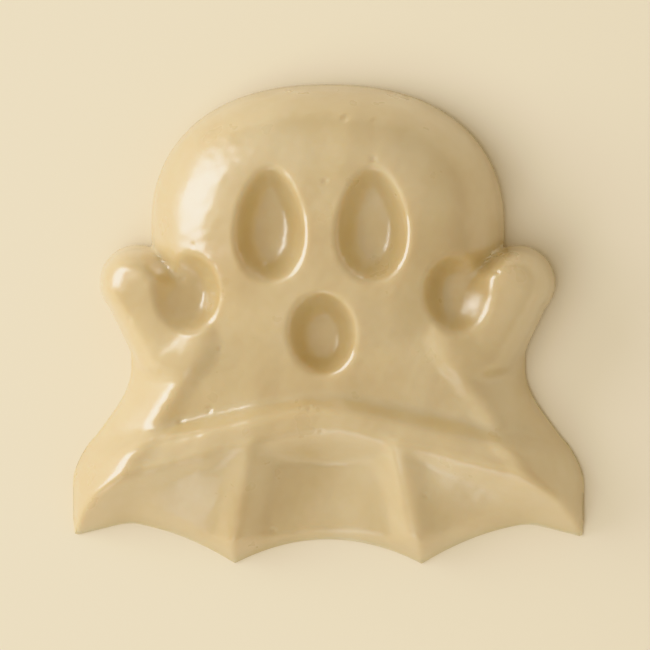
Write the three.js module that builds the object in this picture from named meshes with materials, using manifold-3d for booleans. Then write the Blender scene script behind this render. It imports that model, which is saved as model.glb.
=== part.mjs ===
// A moulded white chocolate ghost, a cake decoration cast in one piece with a flat back.
// Millimetres. It lies on its back at Z = 0 with its face up: X runs across it and Y up its body.
// The origin is at the middle of the box round the back.

import * as THREE from 'three';
import { mergeVertices } from 'three/addons/utils/BufferGeometryUtils.js';
import Module from 'manifold-3d';

// Head: a dome, a little squarer than an oval, with its widest part at Y.
const HEAD = {
  y: 5.5, halfWidth: 10.2, above: 8.3, below: 7.8, squareness: 2.3, height: 7.0, fullness: 4.0,
};

// Arms: a blunt lobe on each side, rising from the shoulder to the hand and tilted down outward.
const ARM = {
  shoulder: { x: 8.4, y: -0.6, height: 5.3, radius: 3.2 },
  hand: { x: 11.0, y: 2.4, height: 6.2, radius: 2.15 },
  fullness: 4.0,
  tilt: 0.3,
};

// Robe: a bell with side walls, steepest at their foot, from a line on the back to an edge on its front.
const BACK_LINE = {
  waist: 11.4, waistY: -2.65, hem: 14.7, hemY: -9.25, shoulderY: -0.45, shoulderCurve: 0.25,
};
const FRONT_EDGE = { y: -2.35, halfWidth: 8.2, flare: 0.66, neck: 7.4 };
const WALL = { thinnest: 1.6, power: 0.55 };

// The robe's front is highest where it runs into the face, and falls off a little to its sides.
const FRONT = { lowY: -6.45, low: 4.1, highY: 0.05, high: 5.9, crown: 0.008, topY: 6.05, topSlope: 2.0 };

// Thin raised rims along the robe's side edges, and its lip, a raised and nearly flat band along an arch.
const SIDE_RIM = { inset: 0.5, rise: 0.35, width: 1.4, startY: -0.45, fullY: -2.95 };
const LIP = {
  y: -5.95, drop: 0.25, crown: 2.0, rise: 1.2, flat: 0.9, width: 2.2, height: 5.6, wallSlope: 1.8,
};

// Under the lip: hollows, the middle one deepest, parted by ridges that run down to a scalloped edge.
const UNDERSIDE = {
  top: 4.7, edge: 0.6, edgeSlope: 1.8, sideSlope: 1.5, topSlope: 2.5, middleDepth: 2.1, middleWidth: 3.0,
};
const RIDGE = { x: 5.4, height: 0.8, width: 1.1, splay: 0.26, cornerWidth: 1.6 };
const SCALLOP = { middleY: -12.45, pointY: -13.85, cornerX: 14.4, cornerY: -11.45, sideRise: 0.8 };

// Scooped out of the front: two tall eyes, narrower at the top, a mouth, and the palms, which are
// shallower toward the hand. Each bowl rises from its floor to its rim.
const EYE = {
  x: 2.95, y: 5.85, halfWidth: 1.9, halfHeight: 3.15, taper: 0.2, tilt: 0, floor: 4.8, rim: 7.0,
};
const MOUTH = { x: 0, y: -0.65, halfWidth: 1.85, halfHeight: 2.3, taper: 0, tilt: 0, floor: 3.9, rim: 6.2 };
const PALM = {
  x: 8.1, y: 1.8, halfWidth: 1.9, halfHeight: 2.3, taper: 0, tilt: 0.45, floor: 3.6, rim: 5.4,
};
const SCOOP = { bowl: 4, reach: 1.2, steps: 9, segments: 32 };

// How far the moulded joins between two forms are rounded.
const ROUNDING = { neck: 1.6, arm: 0.8, wall: 0.9, lip: 0.9, top: 1.0, underside: 0.5 };

// The mesh has rings round a middle point, each with one more vertex a side, crowded toward the outline
// and drawn to the lip's line from a short way off.
const MESH = {
  middleY: -1.0, rings: 38, sides: 6, crowding: 0.5, lipDraw: 0.6, farthest: 22, bisections: 24,
};

const CHOCOLATE = { color: 0xe3cf9f, roughness: 0.4, metalness: 0 };

const { clamp, lerp, smoothstep } = THREE.MathUtils;
const manifold = await Module();
manifold.setup();

// The lower of two heights, with the corner between them rounded.
function softMin(a, b, rounding) {
  const overlap = Math.max(rounding - Math.abs(a - b), 0);
  return Math.min(a, b) - overlap ** 2 / (4 * rounding);
}

// The higher of two heights, with the crease between them filled.
function softMax(a, b, rounding) {
  return -softMin(-a, -b, rounding);
}

// A dome's height: 1 in its middle, 0 at a distance of 1, where its side is upright, and less beyond.
function dome(distance, fullness) {
  const left = 1 - distance ** fullness;
  return left > 0 ? Math.sqrt(left) : left;
}

// A ridge's height across its width: 1 on its crest, fading on both sides.
function ridge(distance, width) {
  return Math.exp(-((distance / width) ** 2));
}

function headHeight(x, y) {
  const across = Math.abs(x) / HEAD.halfWidth;
  const along = y > HEAD.y ? (y - HEAD.y) / HEAD.above : (HEAD.y - y) / HEAD.below;
  const distance = (across ** HEAD.squareness + along ** HEAD.squareness) ** (1 / HEAD.squareness);
  return HEAD.height * dome(distance, HEAD.fullness);
}

const ARM_LINE = new THREE.Line3(
  new THREE.Vector3(ARM.shoulder.x, ARM.shoulder.y, 0),
  new THREE.Vector3(ARM.hand.x, ARM.hand.y, 0),
);

function armHeight(x, y) {
  const point = new THREE.Vector3(Math.abs(x), y, 0);
  const along = ARM_LINE.closestPointToPointParameter(point, true);
  const distance = ARM_LINE.at(along, new THREE.Vector3()).distanceTo(point);
  const radius = lerp(ARM.shoulder.radius, ARM.hand.radius, along);
  const level = lerp(ARM.shoulder.height, ARM.hand.height, along);
  const height = level - ARM.tilt * (Math.abs(x) - ARM.shoulder.x);
  return height * dome(distance / radius, ARM.fullness);
}

// How far the robe's side wall reaches on the back, at each height up the body.
function backHalfWidth(y) {
  const flare = smoothstep(-y, -BACK_LINE.waistY, -BACK_LINE.hemY);
  const shoulder = Math.max(y - BACK_LINE.shoulderY, 0);
  return lerp(BACK_LINE.waist, BACK_LINE.hem, flare) - BACK_LINE.shoulderCurve * shoulder ** 2;
}

// How far the robe's front reaches, at each height up the body.
function frontHalfWidth(y) {
  const flared = FRONT_EDGE.halfWidth + FRONT_EDGE.flare * (FRONT_EDGE.y - y);
  return softMax(flared, FRONT_EDGE.neck, ROUNDING.top);
}

// The lip's line, a shallow arch.
function lipY(x) {
  return LIP.y + LIP.drop * (LIP.crown - Math.hypot(x, LIP.crown));
}

// The lower edge's line: a scallop in the middle and one on each side, with points between them.
function scallopY(x) {
  const across = Math.abs(x);
  if (across < RIDGE.x) {
    return lerp(SCALLOP.middleY, SCALLOP.pointY, (across / RIDGE.x) ** 2);
  }
  const along = (across - RIDGE.x) / (SCALLOP.cornerX - RIDGE.x);
  return lerp(SCALLOP.pointY, SCALLOP.cornerY, along) + SCALLOP.sideRise * 4 * along * (1 - along);
}

function robeHeight(x, y) {
  const wall = Math.max(backHalfWidth(y) - frontHalfWidth(y), WALL.thinnest);
  const inFromSide = backHalfWidth(y) - Math.abs(x);
  const aboveLip = y - lipY(x);
  const offRim = Math.abs(inFromSide - wall - SIDE_RIM.inset);
  const front = lerp(FRONT.low, FRONT.high, smoothstep(y, FRONT.lowY, FRONT.highY)) - FRONT.crown * x ** 2
    + SIDE_RIM.rise * smoothstep(SIDE_RIM.width - offRim, 0, SIDE_RIM.width)
      * smoothstep(-y, -SIDE_RIM.startY, -SIDE_RIM.fullY)
    + LIP.rise * smoothstep(LIP.width - aboveLip, 0, LIP.width - LIP.flat);
  const upWall = inFromSide / wall;
  const walled = softMin(front, front * (upWall > 0 ? upWall ** WALL.power : upWall), ROUNDING.wall);
  const lipped = softMin(walled, LIP.height + LIP.wallSlope * aboveLip, ROUNDING.lip);
  return softMin(lipped, FRONT.topSlope * (FRONT.topY - y), ROUNDING.top);
}

function undersideHeight(x, y) {
  const edgeY = scallopY(x);
  const down = clamp((lipY(x) - y) / (lipY(x) - edgeY), 0, 1);
  const across = Math.abs(x);
  const ridgeX = RIDGE.x * (1 - RIDGE.splay * (1 - down));
  const ridges = ridge(across - ridgeX, RIDGE.width) + ridge(across - SCALLOP.cornerX, RIDGE.cornerWidth);
  const floor = lerp(UNDERSIDE.top, UNDERSIDE.edge, down) + RIDGE.height * ridges
    - UNDERSIDE.middleDepth * ridge(x, UNDERSIDE.middleWidth) * (1 - down)
    - UNDERSIDE.topSlope * Math.max(y - lipY(x), 0);
  const sideWall = UNDERSIDE.sideSlope * (backHalfWidth(y) - across);
  const edgeWall = UNDERSIDE.edgeSlope * (y - edgeY);
  return softMin(softMin(floor, sideWall, ROUNDING.underside), edgeWall, ROUNDING.underside);
}

// The front's height over the back, before the face and palms. It is below 0 outside the outline.
function frontHeight(x, y) {
  const body = softMax(headHeight(x, y), robeHeight(x, y), ROUNDING.neck);
  const withArms = softMax(body, armHeight(x, y), ROUNDING.arm);
  return softMax(withArms, undersideHeight(x, y), ROUNDING.underside);
}

// How far the outline is from the middle point in a direction, found by halving.
function outlineRadius(direction) {
  let inside = 0;
  let outside = MESH.farthest;
  for (let step = 0; step < MESH.bisections; step += 1) {
    const radius = (inside + outside) / 2;
    if (frontHeight(direction.x * radius, MESH.middleY + direction.y * radius) > 0) inside = radius;
    else outside = radius;
  }
  return inside;
}

// A place near the lip's line, drawn toward it.
function drawnToLip(x, y) {
  const off = y - lipY(x);
  return lipY(x) + off * smoothstep(Math.abs(off), 0, MESH.lipDraw);
}

// A ring's distance from the middle, as a share of the outline's.
function ringShare(ring) {
  const even = ring / MESH.rings;
  return lerp(even, Math.sin(even * Math.PI / 2), MESH.crowding);
}

// The body's vertices: the rings of its front, the last of them on the back's edge, then the back's middle.
function bodyVertices() {
  const vertices = [0, MESH.middleY, frontHeight(0, MESH.middleY)];
  for (let ring = 1; ring <= MESH.rings; ring += 1) {
    const count = MESH.sides * ring;
    for (let spoke = 0; spoke < count; spoke += 1) {
      const angle = Math.PI / 2 + 2 * Math.PI * spoke / count;
      const direction = new THREE.Vector2(Math.cos(angle), Math.sin(angle));
      const reach = outlineRadius(direction) * ringShare(ring);
      const x = direction.x * reach;
      const y = MESH.middleY + direction.y * reach;
      const drawnY = drawnToLip(x, y);
      if (ring < MESH.rings) vertices.push(x, drawnY, frontHeight(x, drawnY));
      else vertices.push(x, y, 0);
    }
  }
  vertices.push(0, MESH.middleY, 0);
  return vertices;
}

// The number of a ring's vertex, counting round past its start.
function ringVertex(ring, spoke) {
  if (ring === 0) return 0;
  const before = 1 + MESH.sides * ring * (ring - 1) / 2;
  return before + spoke % (MESH.sides * ring);
}

function bodyTriangles() {
  const triangles = [];
  for (let ring = 1; ring <= MESH.rings; ring += 1) {
    for (let side = 0; side < MESH.sides; side += 1) {
      for (let step = 0; step < ring; step += 1) {
        const outer = side * ring + step;
        const inner = side * (ring - 1) + step;
        triangles.push(ringVertex(ring, outer), ringVertex(ring, outer + 1), ringVertex(ring - 1, inner));
        if (step < ring - 1) {
          triangles.push(
            ringVertex(ring, outer + 1), ringVertex(ring - 1, inner + 1), ringVertex(ring - 1, inner),
          );
        }
      }
    }
  }
  const backMiddle = ringVertex(MESH.rings + 1, 0);
  for (let spoke = 0; spoke < MESH.sides * MESH.rings; spoke += 1) {
    triangles.push(ringVertex(MESH.rings, spoke + 1), ringVertex(MESH.rings, spoke), backMiddle);
  }
  return triangles;
}

function bodyGeometry() {
  const geometry = new THREE.BufferGeometry();
  geometry.setAttribute('position', new THREE.Float32BufferAttribute(bodyVertices(), 3));
  geometry.setIndex(bodyTriangles());
  return geometry;
}

// What is scooped out on one side: a round bowl, shaped into an oval and tilted up to that side.
function scoopGeometry(oval, side) {
  const profile = [];
  for (let step = 0; step <= SCOOP.steps; step += 1) {
    const share = SCOOP.reach * step / SCOOP.steps;
    profile.push(new THREE.Vector2(share, oval.floor + (oval.rim - oval.floor) * share ** SCOOP.bowl));
  }
  profile.push(new THREE.Vector2(0, profile.at(-1).y));
  const geometry = new THREE.LatheGeometry(profile, SCOOP.segments).rotateX(Math.PI / 2);
  const position = geometry.getAttribute('position');
  for (let i = 0; i < position.count; i += 1) {
    const up = position.getY(i);
    const across = position.getX(i) * oval.halfWidth * (1 - oval.taper * up);
    const z = position.getZ(i) + oval.tilt * (side * across + oval.halfWidth);
    position.setXYZ(i, side * oval.x + across, oval.y + up * oval.halfHeight, z);
  }
  return geometry;
}

// A closed geometry as a solid, with shared vertices merged and flattened triangles left out.
function toSolid(geometry) {
  const bare = new THREE.BufferGeometry();
  bare.setAttribute('position', geometry.getAttribute('position'));
  bare.setIndex(geometry.getIndex());
  const merged = mergeVertices(bare);
  const corners = merged.getIndex().array;
  const triangles = [];
  for (let i = 0; i < corners.length; i += 3) {
    const [a, b, c] = corners.slice(i, i + 3);
    if (a !== b && b !== c && c !== a) triangles.push(a, b, c);
  }
  return new manifold.Manifold(new manifold.Mesh({
    numProp: 3,
    vertProperties: merged.getAttribute('position').array,
    triVerts: new Uint32Array(triangles),
  }));
}

function toGeometry(solid) {
  const mesh = solid.getMesh();
  const geometry = new THREE.BufferGeometry();
  geometry.setAttribute('position', new THREE.BufferAttribute(mesh.vertProperties, mesh.numProp));
  geometry.setIndex(new THREE.BufferAttribute(mesh.triVerts, 1));
  geometry.computeVertexNormals();
  return geometry;
}

function buildGhost() {
  const scoops = [scoopGeometry(MOUTH, 1)];
  for (const side of [-1, 1]) scoops.push(scoopGeometry(EYE, side), scoopGeometry(PALM, side));
  const solid = scoops.reduce((body, scoop) => body.subtract(toSolid(scoop)), toSolid(bodyGeometry()));
  const ghost = new THREE.Mesh(toGeometry(solid), new THREE.MeshStandardMaterial(CHOCOLATE));
  ghost.name = 'chocolate_ghost';
  return ghost;
}

const group = new THREE.Group();
group.add(buildGhost());
export default group;
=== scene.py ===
"""A moulded white chocolate ghost, a cake decoration cast in one piece, lying face up on a pale floor.

Lengths of the ghost's form are in millimetres and are turned to metres where its mesh is made.
X runs across it, Y up its body and Z out of its face, with the origin in the middle of its back.
"""
import math

import bpy
import numpy as np
from mathutils import Matrix, Vector


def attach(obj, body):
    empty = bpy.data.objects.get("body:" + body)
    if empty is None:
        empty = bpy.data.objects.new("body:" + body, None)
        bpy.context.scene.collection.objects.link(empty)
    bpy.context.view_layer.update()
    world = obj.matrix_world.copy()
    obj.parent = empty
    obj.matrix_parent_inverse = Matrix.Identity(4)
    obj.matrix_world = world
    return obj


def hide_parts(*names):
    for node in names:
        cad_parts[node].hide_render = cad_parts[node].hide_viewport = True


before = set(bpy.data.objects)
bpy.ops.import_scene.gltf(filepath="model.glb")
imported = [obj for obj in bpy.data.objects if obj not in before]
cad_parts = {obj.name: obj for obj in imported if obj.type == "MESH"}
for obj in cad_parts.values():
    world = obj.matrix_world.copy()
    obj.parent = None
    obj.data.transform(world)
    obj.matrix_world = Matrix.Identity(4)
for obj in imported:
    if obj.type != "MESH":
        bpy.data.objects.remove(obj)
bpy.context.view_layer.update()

MM = 0.001

# Head: a dome, a little squarer than an oval, with its widest part at y.
HEAD = dict(y=5.5, half_width=10.2, above=8.3, below=7.8, squareness=2.3, height=7.0, fullness=4.0)

# Arms: a blunt lobe on each side, rising from the shoulder to the hand and tilted down outward.
SHOULDER = dict(x=8.4, y=-0.6, height=5.3, radius=3.2)
HAND = dict(x=11.0, y=2.4, height=6.2, radius=2.15)
ARM_FULLNESS = 4.0
ARM_TILT = 0.3

# Robe: a bell with side walls, steepest at their foot, from a line on the back to an edge on its front.
BACK_LINE = dict(waist=11.4, waist_y=-2.65, hem=14.7, hem_y=-9.25, shoulder_y=-0.45, shoulder_curve=0.25)
FRONT_EDGE = dict(y=-2.35, half_width=8.2, flare=0.66, neck=7.4)
WALL = dict(thinnest=1.6, power=0.55)
FRONT = dict(low_y=-6.45, low=4.1, high_y=0.05, high=5.9, crown=0.008, top_y=6.05, top_slope=2.0)
SIDE_RIM = dict(inset=0.5, rise=0.35, width=1.4, start_y=-0.45, full_y=-2.95)
LIP = dict(y=-5.95, drop=0.25, crown=2.0, rise=1.2, flat=0.9, width=2.2, height=5.6, wall_slope=1.8)

# Under the lip: hollows, the middle one deepest, parted by ridges that run down to a scalloped edge.
UNDERSIDE = dict(top=4.7, edge=0.6, edge_slope=1.8, side_slope=1.5, top_slope=2.5, depth=2.1, width=3.0)
RIDGE = dict(x=5.4, height=0.8, width=1.1, splay=0.26, corner_width=1.6)
SCALLOP = dict(middle_y=-12.45, point_y=-13.85, corner_x=14.4, corner_y=-11.45, side_rise=0.8)

# Scooped out of the front: two tall eyes, narrower at the top, a mouth, and the palms, which are
# shallower toward the hand. Each bowl rises from its floor to its rim.
EYE = dict(x=2.95, y=5.85, half_width=1.9, half_height=3.15, taper=0.2, tilt=0.0, floor=4.8, rim=7.0)
MOUTH = dict(x=0.0, y=-0.65, half_width=1.85, half_height=2.3, taper=0.0, tilt=0.0, floor=3.9, rim=6.2)
PALM = dict(x=8.1, y=1.8, half_width=1.9, half_height=2.3, taper=0.0, tilt=0.45, floor=3.6, rim=5.4)
SCOOP_BOWL = 4

# How far the moulded joins between two forms are rounded.
ROUNDING = dict(neck=1.6, arm=0.8, wall=0.9, lip=0.9, top=1.0, underside=0.5, scoop=1.2)

# The mesh has rings round a middle point, each with six more vertices, crowded toward the outline. They
# grow as circles at first and take on the outline's form further out.
MIDDLE_Y = -1.0
RINGS = 124
SIDES = 6
CROWDING = 0.5
ROUND_RADIUS = 11.0
ROUND_POWER = 3
FARTHEST = 22.0
BISECTIONS = 24

# Traces of the mould and the pour: edges melted round, slow and fine waves in the surface, burst air
# bubbles, a foot round the outline, rounded where it meets the back, and a back that sank as it set and
# was scraped level. A wave's lengths spread about the one given.
MELT = dict(radius=0.22, directions=8)
WAVE = dict(count=14, length=3.6, height=0.035)
FINE_WAVE = dict(count=18, length=0.9, height=0.005)
WAVE_SPREAD = (0.6, 1.6)
BUBBLES = dict(count=16, reach=12.0, smallest=0.16, largest=0.3, depth=0.35)
FOOT = dict(height=0.14, radius=0.14)
BACK_DISH = dict(depth=0.2, edge=1.2)
BACK_WAVE = dict(count=10, length=5.0, height=0.04)
SCRAPE = dict(count=24, shortest=0.5, longest=2.4, lean=0.12, height=0.012)
SHARP_ANGLE = 50
SEED = 7


def mix(a, b, share):
    return a + (b - a) * share


def smoothstep(low, high, value):
    share = np.clip((value - low) / (high - low), 0, 1)
    return share * share * (3 - 2 * share)


def soft_min(a, b, rounding):
    """The lower of two heights, with the corner between them rounded."""
    overlap = np.maximum(rounding - np.abs(a - b), 0)
    return np.minimum(a, b) - overlap ** 2 / (4 * rounding)


def soft_max(a, b, rounding):
    """The higher of two heights, with the crease between them filled."""
    return -soft_min(-a, -b, rounding)


def dome(distance, fullness):
    """A dome's height: 1 in its middle, 0 at a distance of 1, and less beyond."""
    left = 1 - distance ** fullness
    return np.where(left > 0, np.sqrt(np.maximum(left, 0)), left)


def ridge(distance, width):
    """A ridge's height across its width: 1 on its crest, fading on both sides."""
    return np.exp(-((distance / width) ** 2))


def head_height(x, y):
    across = np.abs(x) / HEAD["half_width"]
    up = y - HEAD["y"]
    along = np.where(up > 0, up / HEAD["above"], -up / HEAD["below"])
    power = HEAD["squareness"]
    distance = (across ** power + along ** power) ** (1 / power)
    return HEAD["height"] * dome(distance, HEAD["fullness"])


def arm_height(x, y):
    run_x = HAND["x"] - SHOULDER["x"]
    run_y = HAND["y"] - SHOULDER["y"]
    off_x = np.abs(x) - SHOULDER["x"]
    off_y = y - SHOULDER["y"]
    along = np.clip((off_x * run_x + off_y * run_y) / (run_x ** 2 + run_y ** 2), 0, 1)
    distance = np.hypot(off_x - along * run_x, off_y - along * run_y)
    radius = mix(SHOULDER["radius"], HAND["radius"], along)
    height = mix(SHOULDER["height"], HAND["height"], along) - ARM_TILT * off_x
    return height * dome(distance / radius, ARM_FULLNESS)


def back_half_width(y):
    """How far the robe's side wall reaches on the back, at each height up the body."""
    flare = smoothstep(-BACK_LINE["waist_y"], -BACK_LINE["hem_y"], -y)
    shoulder = np.maximum(y - BACK_LINE["shoulder_y"], 0)
    return mix(BACK_LINE["waist"], BACK_LINE["hem"], flare) - BACK_LINE["shoulder_curve"] * shoulder ** 2


def front_half_width(y):
    """How far the robe's front reaches, at each height up the body."""
    flared = FRONT_EDGE["half_width"] + FRONT_EDGE["flare"] * (FRONT_EDGE["y"] - y)
    return soft_max(flared, FRONT_EDGE["neck"], ROUNDING["top"])


def lip_y(x):
    """The lip's line, a shallow arch."""
    return LIP["y"] + LIP["drop"] * (LIP["crown"] - np.hypot(x, LIP["crown"]))


def scallop_y(x):
    """The lower edge's line: a scallop in the middle and one on each side, with points between them."""
    across = np.abs(x)
    inner = np.clip(across / RIDGE["x"], 0, 1)
    middle = mix(SCALLOP["middle_y"], SCALLOP["point_y"], inner ** 2)
    along = (across - RIDGE["x"]) / (SCALLOP["corner_x"] - RIDGE["x"])
    arch = SCALLOP["side_rise"] * 4 * along * (1 - along)
    side = mix(SCALLOP["point_y"], SCALLOP["corner_y"], along) + arch
    return np.where(across < RIDGE["x"], middle, side)


def robe_height(x, y):
    wall = np.maximum(back_half_width(y) - front_half_width(y), WALL["thinnest"])
    in_from_side = back_half_width(y) - np.abs(x)
    above_lip = y - lip_y(x)
    off_rim = np.abs(in_from_side - wall - SIDE_RIM["inset"])
    rim = SIDE_RIM["rise"] * smoothstep(0, SIDE_RIM["width"], SIDE_RIM["width"] - off_rim)
    rim *= smoothstep(-SIDE_RIM["start_y"], -SIDE_RIM["full_y"], -y)
    lip = LIP["rise"] * smoothstep(0, LIP["width"] - LIP["flat"], LIP["width"] - above_lip)
    front = mix(FRONT["low"], FRONT["high"], smoothstep(FRONT["low_y"], FRONT["high_y"], y))
    front = front - FRONT["crown"] * x ** 2 + rim + lip
    up_wall = in_from_side / wall
    wall_height = np.where(up_wall > 0, np.maximum(up_wall, 0) ** WALL["power"], up_wall)
    walled = soft_min(front, front * wall_height, ROUNDING["wall"])
    lipped = soft_min(walled, LIP["height"] + LIP["wall_slope"] * above_lip, ROUNDING["lip"])
    return soft_min(lipped, FRONT["top_slope"] * (FRONT["top_y"] - y), ROUNDING["top"])


def underside_height(x, y):
    lip = lip_y(x)
    edge = scallop_y(x)
    down = np.clip((lip - y) / (lip - edge), 0, 1)
    across = np.abs(x)
    ridge_x = RIDGE["x"] * (1 - RIDGE["splay"] * (1 - down))
    ridges = ridge(across - ridge_x, RIDGE["width"])
    ridges = ridges + ridge(across - SCALLOP["corner_x"], RIDGE["corner_width"])
    floor = mix(UNDERSIDE["top"], UNDERSIDE["edge"], down) + RIDGE["height"] * ridges
    floor = floor - UNDERSIDE["depth"] * ridge(x, UNDERSIDE["width"]) * (1 - down)
    floor = floor - UNDERSIDE["top_slope"] * np.maximum(y - lip, 0)
    side_wall = UNDERSIDE["side_slope"] * (back_half_width(y) - across)
    edge_wall = UNDERSIDE["edge_slope"] * (y - edge)
    rounding = ROUNDING["underside"]
    return soft_min(soft_min(floor, side_wall, rounding), edge_wall, rounding)


def body_height(x, y):
    """The front's height over the back, before the face and palms. It is below 0 outside the outline."""
    body = soft_max(head_height(x, y), robe_height(x, y), ROUNDING["neck"])
    with_arms = soft_max(body, arm_height(x, y), ROUNDING["arm"])
    return soft_max(with_arms, underside_height(x, y), ROUNDING["underside"])


def scoop_height(x, y, side, oval):
    """A bowl scooped out on one side: an oval, tilted up to that side."""
    up = (y - oval["y"]) / oval["half_height"]
    across = x - side * oval["x"]
    distance = np.hypot(across / (oval["half_width"] * (1 - oval["taper"] * up)), up)
    floor = oval["floor"] + oval["tilt"] * (side * across + oval["half_width"])
    return floor + (oval["rim"] - oval["floor"]) * distance ** SCOOP_BOWL


def cast_height(x, y):
    """The front with its scoops, and level outside the outline."""
    height = body_height(x, y)
    for side, oval in ((1, MOUTH), (-1, EYE), (1, EYE), (-1, PALM), (1, PALM)):
        height = soft_min(height, scoop_height(x, y, side, oval), ROUNDING["scoop"])
    return np.maximum(height, 0)


def melted_height(x, y):
    """The front's height, averaged over a small circle and its middle."""
    total = cast_height(x, y)
    for angle in np.arange(MELT["directions"]) * 2 * math.pi / MELT["directions"]:
        off_x = MELT["radius"] * math.cos(angle)
        off_y = MELT["radius"] * math.sin(angle)
        total = total + cast_height(x + off_x, y + off_y)
    return total / (MELT["directions"] + 1)


def waves(x, y, count, length, height, seed):
    """A smooth uneven surface: the sum of seeded waves in all directions."""
    draw = np.random.default_rng(seed)
    angles = draw.uniform(0, 2 * math.pi, count)
    lengths = length * draw.uniform(*WAVE_SPREAD, count)
    phases = draw.uniform(0, 2 * math.pi, count)
    total = np.zeros_like(x)
    for angle, span, phase in zip(angles, lengths, phases):
        total += np.sin((x * math.cos(angle) + y * math.sin(angle)) * 2 * math.pi / span + phase)
    return height * total / math.sqrt(count / 2)


def bubble_pits(x, y):
    """Small round pits where air bubbles burst at the mould's face."""
    draw = np.random.default_rng(SEED)
    pits = np.zeros_like(x)
    for _ in range(BUBBLES["count"]):
        middle_x, middle_y = draw.uniform(-BUBBLES["reach"], BUBBLES["reach"], 2)
        radius = mix(BUBBLES["smallest"], BUBBLES["largest"], draw.random() ** 2)
        distance = np.hypot(x - middle_x, y - middle_y) / radius
        pits += BUBBLES["depth"] * radius * np.clip(1 - distance ** 2, 0, None)
    return pits


def front_height(x, y):
    """The whole front, with melted edges and the traces of the mould, down to its foot."""
    height = melted_height(x, y)
    inside = np.clip(height, 0, 1)
    traces = waves(x, y, seed=SEED, **WAVE) + waves(x, y, seed=SEED + 1, **FINE_WAVE)
    return np.maximum(height + inside * (traces - bubble_pits(x, y)), FOOT["height"])


def outline_radius(angle):
    """How far the outline is from the middle point in each direction, found by halving."""
    inside = np.zeros_like(angle)
    outside = np.full_like(angle, FARTHEST)
    for _ in range(BISECTIONS):
        radius = (inside + outside) / 2
        within = body_height(radius * np.cos(angle), MIDDLE_Y + radius * np.sin(angle)) > 0
        inside = np.where(within, radius, inside)
        outside = np.where(within, outside, radius)
    return inside


def ring_points():
    """Each vertex's place across and up the body and how far in it is from the outline."""
    ring = np.concatenate([np.full(max(SIDES * n, 1), n) for n in range(RINGS + 1)])
    spoke = np.concatenate([np.arange(max(SIDES * n, 1)) for n in range(RINGS + 1)])
    angle = math.pi / 2 + 2 * math.pi * spoke / np.maximum(SIDES * ring, 1)
    even = ring / RINGS
    share = mix(even, np.sin(even * math.pi / 2), CROWDING)
    outline = outline_radius(angle)
    reach = share * mix(ROUND_RADIUS, outline, share ** ROUND_POWER)
    return reach * np.cos(angle), MIDDLE_Y + reach * np.sin(angle), outline - reach


def ring_vertex(ring, spoke):
    """The number of a ring's vertex, counting round past its start."""
    if ring == 0:
        return 0
    return 1 + SIDES * ring * (ring - 1) // 2 + spoke % (SIDES * ring)


def ring_triangles():
    triangles = []
    for ring in range(1, RINGS + 1):
        for side in range(SIDES):
            for step in range(ring):
                outer = side * ring + step
                inner = side * (ring - 1) + step
                corner = ring_vertex(ring, outer + 1)
                within = ring_vertex(ring - 1, inner)
                triangles.append((ring_vertex(ring, outer), corner, within))
                if step < ring - 1:
                    triangles.append((corner, ring_vertex(ring - 1, inner + 1), within))
    return triangles


def scrape_marks(x, y):
    """Shallow grooves that nearly follow Y, where the back was scraped level."""
    draw = np.random.default_rng(SEED + 3)
    lengths = draw.uniform(SCRAPE["shortest"], SCRAPE["longest"], SCRAPE["count"])
    leans = draw.normal(0, SCRAPE["lean"], SCRAPE["count"])
    phases = draw.uniform(0, 2 * math.pi, SCRAPE["count"])
    total = np.zeros_like(x)
    for length, lean, phase in zip(lengths, leans, phases):
        total += np.sin((x + lean * y) * 2 * math.pi / length + phase)
    return SCRAPE["height"] * total / math.sqrt(SCRAPE["count"] / 2)


def back_height(x, y, in_from_edge):
    """The back: rounded up to the foot at its edge and sunk a little within."""
    off_round = np.clip(1 - in_from_edge / FOOT["radius"], 0, 1)
    rounded = FOOT["height"] * (1 - np.sqrt(1 - off_round ** 2))
    inside = smoothstep(FOOT["radius"], BACK_DISH["edge"], in_from_edge)
    traces = waves(x, y, seed=SEED + 2, **BACK_WAVE) + scrape_marks(x, y)
    return rounded + inside * np.maximum(BACK_DISH["depth"] + traces, 0)


def make_ghost():
    """One closed mesh: the front's rings, then the back's, which share the outline's ring."""
    x, y, in_from_edge = ring_points()
    front = np.stack([x, y, front_height(x, y)], axis=-1)
    back = np.stack([x, y, back_height(x, y, in_from_edge)], axis=-1)
    first_on_outline = len(front) - SIDES * RINGS
    front_faces = ring_triangles()

    def back_vertex(index):
        return index if index >= first_on_outline else index + len(front)

    back_faces = [tuple(back_vertex(index) for index in reversed(face)) for face in front_faces]
    points = np.concatenate([front, back[:first_on_outline]]) * MM
    mesh = bpy.data.meshes.new("chocolate_ghost_cast")
    mesh.from_pydata(points.tolist(), [], front_faces + back_faces)
    mesh.validate()
    mesh.shade_smooth()
    mesh.set_sharp_from_angle(angle=math.radians(SHARP_ANGLE))
    ghost = bpy.data.objects.new("chocolate_ghost_cast", mesh)
    bpy.context.collection.objects.link(ghost)
    return ghost


# Colours as a screen shows them, 0 to 255.
CREAM = (213, 190, 144)
PALE_CREAM = (219, 199, 158)
DEEP_CREAM = (205, 179, 130)

# White chocolate: light soaks in, furthest in red, under a glossy skin that cooled against the mould.
SOAK = dict(weight=0.5, depths=(1.1, 0.8, 0.5))
SKIN = dict(ior=1.46, coat=1.0, coat_ior=2.5, coat_roughness=0.26)

# Its unevenness: clouds of tint, smears of duller and glossier skin, and a fine grain.
CLOUDS = dict(scale=160.0, detail=4.0)
SMEARS = dict(scale=420.0, detail=3.0)
GLOSSY_TO_DULL = (0.26, 0.42)
GRAIN = dict(scale=2600.0, detail=2.0)
GRAIN_STRENGTH = 0.12
GRAIN_DEPTH = 0.05
NOISE_RANGE = (0.3, 0.7)

FLOOR = dict(colour=(240, 230, 208), roughness=0.7, half_width=0.4)

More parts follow.
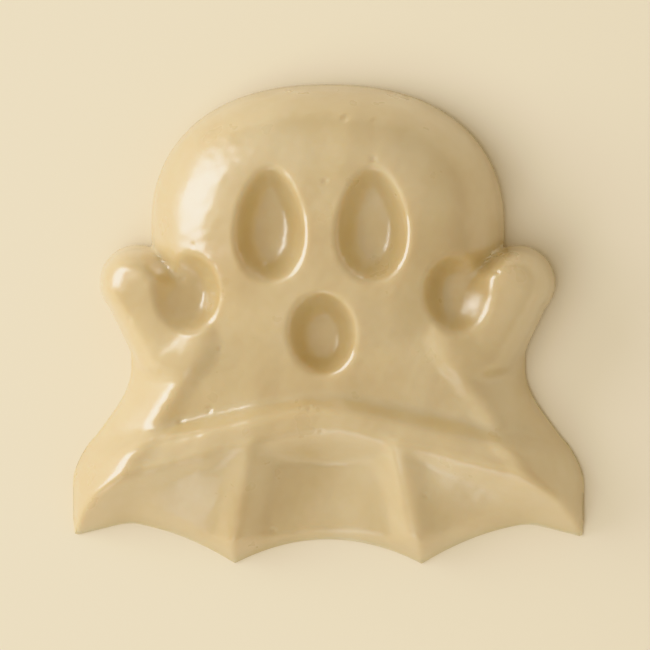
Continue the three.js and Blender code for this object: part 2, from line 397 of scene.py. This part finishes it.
# The light: a low cool key from the left, a wide one overhead, a weak low one along the floor past the
# hem, and an even warm glow all round.
KEY = dict(location=(-0.29, 0.09, 0.1), size=0.28, power=0.76, colour=(0.88, 0.94, 1.0), glossy=True)
TOP = dict(location=(-0.16, -0.1, 0.42), size=0.4, power=1.0, colour=(0.97, 0.98, 1.0), glossy=False)
LOW = dict(location=(-0.1, -0.4, 0.05), size=0.2, power=0.07, colour=(0.88, 0.94, 1.0), glossy=True)
GLOW = dict(colour=(1.0, 0.89, 0.7), strength=0.52)


def linear(colour):
    """A screen colour as the renderer's linear values."""
    shares = [channel / 255 for channel in colour]
    return tuple(s / 12.92 if s <= 0.04045 else ((s + 0.055) / 1.055) ** 2.4 for s in shares) + (1.0,)


def new_material(name):
    material = bpy.data.materials.new(name)
    material.use_nodes = True
    return material, material.node_tree.nodes, material.node_tree.links


def add_noise(nodes, links, place, scale, detail):
    """A cloudy texture that stays put on the piece."""
    noise = nodes.new("ShaderNodeTexNoise")
    noise.inputs["Scale"].default_value = scale
    noise.inputs["Detail"].default_value = detail
    links.new(place.outputs["Object"], noise.inputs["Vector"])
    return noise.outputs["Fac"]


def add_tint(nodes, links, clouds):
    """Deep, middle and pale cream, by the clouds."""
    tint = nodes.new("ShaderNodeValToRGB")
    deep, pale = tint.color_ramp.elements
    deep.position, pale.position = NOISE_RANGE
    deep.color = linear(DEEP_CREAM)
    pale.color = linear(PALE_CREAM)
    middle = tint.color_ramp.elements.new(sum(NOISE_RANGE) / 2)
    middle.color = linear(CREAM)
    links.new(clouds, tint.inputs["Fac"])
    return tint.outputs["Color"]


def add_roughness(nodes, links, smears):
    gloss = nodes.new("ShaderNodeMapRange")
    gloss.inputs["From Min"].default_value, gloss.inputs["From Max"].default_value = NOISE_RANGE
    gloss.inputs["To Min"].default_value, gloss.inputs["To Max"].default_value = GLOSSY_TO_DULL
    links.new(smears, gloss.inputs["Value"])
    return gloss.outputs["Result"]


def add_bump(nodes, links, grain):
    bump = nodes.new("ShaderNodeBump")
    bump.inputs["Strength"].default_value = GRAIN_STRENGTH
    bump.inputs["Distance"].default_value = GRAIN_DEPTH * MM
    links.new(grain, bump.inputs["Height"])
    return bump.outputs["Normal"]


def chocolate_material():
    material, nodes, links = new_material("white_chocolate")
    shader = nodes["Principled BSDF"]
    shader.inputs["Subsurface Weight"].default_value = SOAK["weight"]
    shader.inputs["Subsurface Radius"].default_value = SOAK["depths"]
    shader.inputs["Subsurface Scale"].default_value = MM
    shader.inputs["IOR"].default_value = SKIN["ior"]
    shader.inputs["Coat Weight"].default_value = SKIN["coat"]
    shader.inputs["Coat IOR"].default_value = SKIN["coat_ior"]
    shader.inputs["Coat Roughness"].default_value = SKIN["coat_roughness"]
    place = nodes.new("ShaderNodeTexCoord")
    clouds = add_noise(nodes, links, place, **CLOUDS)
    smears = add_noise(nodes, links, place, **SMEARS)
    grain = add_noise(nodes, links, place, **GRAIN)
    links.new(add_tint(nodes, links, clouds), shader.inputs["Base Color"])
    links.new(add_roughness(nodes, links, smears), shader.inputs["Roughness"])
    links.new(add_bump(nodes, links, grain), shader.inputs["Normal"])
    return material


def floor_material():
    material, nodes, _ = new_material("pale_floor")
    shader = nodes["Principled BSDF"]
    shader.inputs["Base Color"].default_value = linear(FLOOR["colour"])
    shader.inputs["Roughness"].default_value = FLOOR["roughness"]
    return material


def make_floor():
    half = FLOOR["half_width"]
    mesh = bpy.data.meshes.new("floor")
    corners = [(-half, -half, 0), (half, -half, 0), (half, half, 0), (-half, half, 0)]
    mesh.from_pydata(corners, [], [(0, 1, 2, 3)])
    mesh.materials.append(floor_material())
    floor = bpy.data.objects.new("floor", mesh)
    bpy.context.collection.objects.link(floor)


def aim(thing, target):
    thing.rotation_euler = (Vector(target) - thing.location).to_track_quat("-Z", "Y").to_euler()


def make_light(name, location, size, power, colour, glossy):
    data = bpy.data.lights.new(name, "AREA")
    data.shape = "SQUARE"
    data.size = size
    data.energy = power
    data.color = colour
    light = bpy.data.objects.new(name, data)
    light.location = location
    light.visible_glossy = glossy
    bpy.context.collection.objects.link(light)
    aim(light, (0, 0, 0))


def make_glow():
    world = bpy.data.worlds.new("studio")
    world.use_nodes = True
    background = world.node_tree.nodes["Background"]
    background.inputs["Color"].default_value = GLOW["colour"] + (1.0,)
    background.inputs["Strength"].default_value = GLOW["strength"]
    bpy.context.scene.world = world


# The camera: metres from the ghost, degrees off the straight line above it, and the metres that its
# picture spans there. It looks at a point a little above the floor.
CAMERA = dict(distance=0.7, right=3.7, up=-1.5, width=0.0375, target_height=0.003)
SENSOR_WIDTH = 36


def make_camera():
    """A long lens from above, a little to the ghost's right and toward its head."""
    right = math.radians(CAMERA["right"])
    up = math.radians(CAMERA["up"])
    data = bpy.data.cameras.new("camera")
    data.sensor_width = SENSOR_WIDTH
    data.lens = SENSOR_WIDTH * CAMERA["distance"] / CAMERA["width"]
    camera = bpy.data.objects.new("camera", data)
    camera.location = CAMERA["distance"] * Vector((math.sin(right), -math.sin(up), math.cos(right)))
    bpy.context.collection.objects.link(camera)
    target = Vector((0, 0, CAMERA["target_height"]))
    ahead = (target - camera.location).normalized()
    side = ahead.cross(Vector((0, 1, 0))).normalized()
    camera.rotation_mode = "QUATERNION"
    camera.rotation_quaternion = Matrix((side, side.cross(ahead), -ahead)).transposed().to_quaternion()
    bpy.context.scene.camera = camera


ghost = make_ghost()
ghost.data.materials.append(chocolate_material())
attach(ghost, "root")
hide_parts("chocolate_ghost")
make_floor()
make_light("key", **KEY)
make_light("top", **TOP)
make_light("low", **LOW)
make_glow()
make_camera()
bpy.context.scene.view_settings.view_transform = "Khronos PBR Neutral"
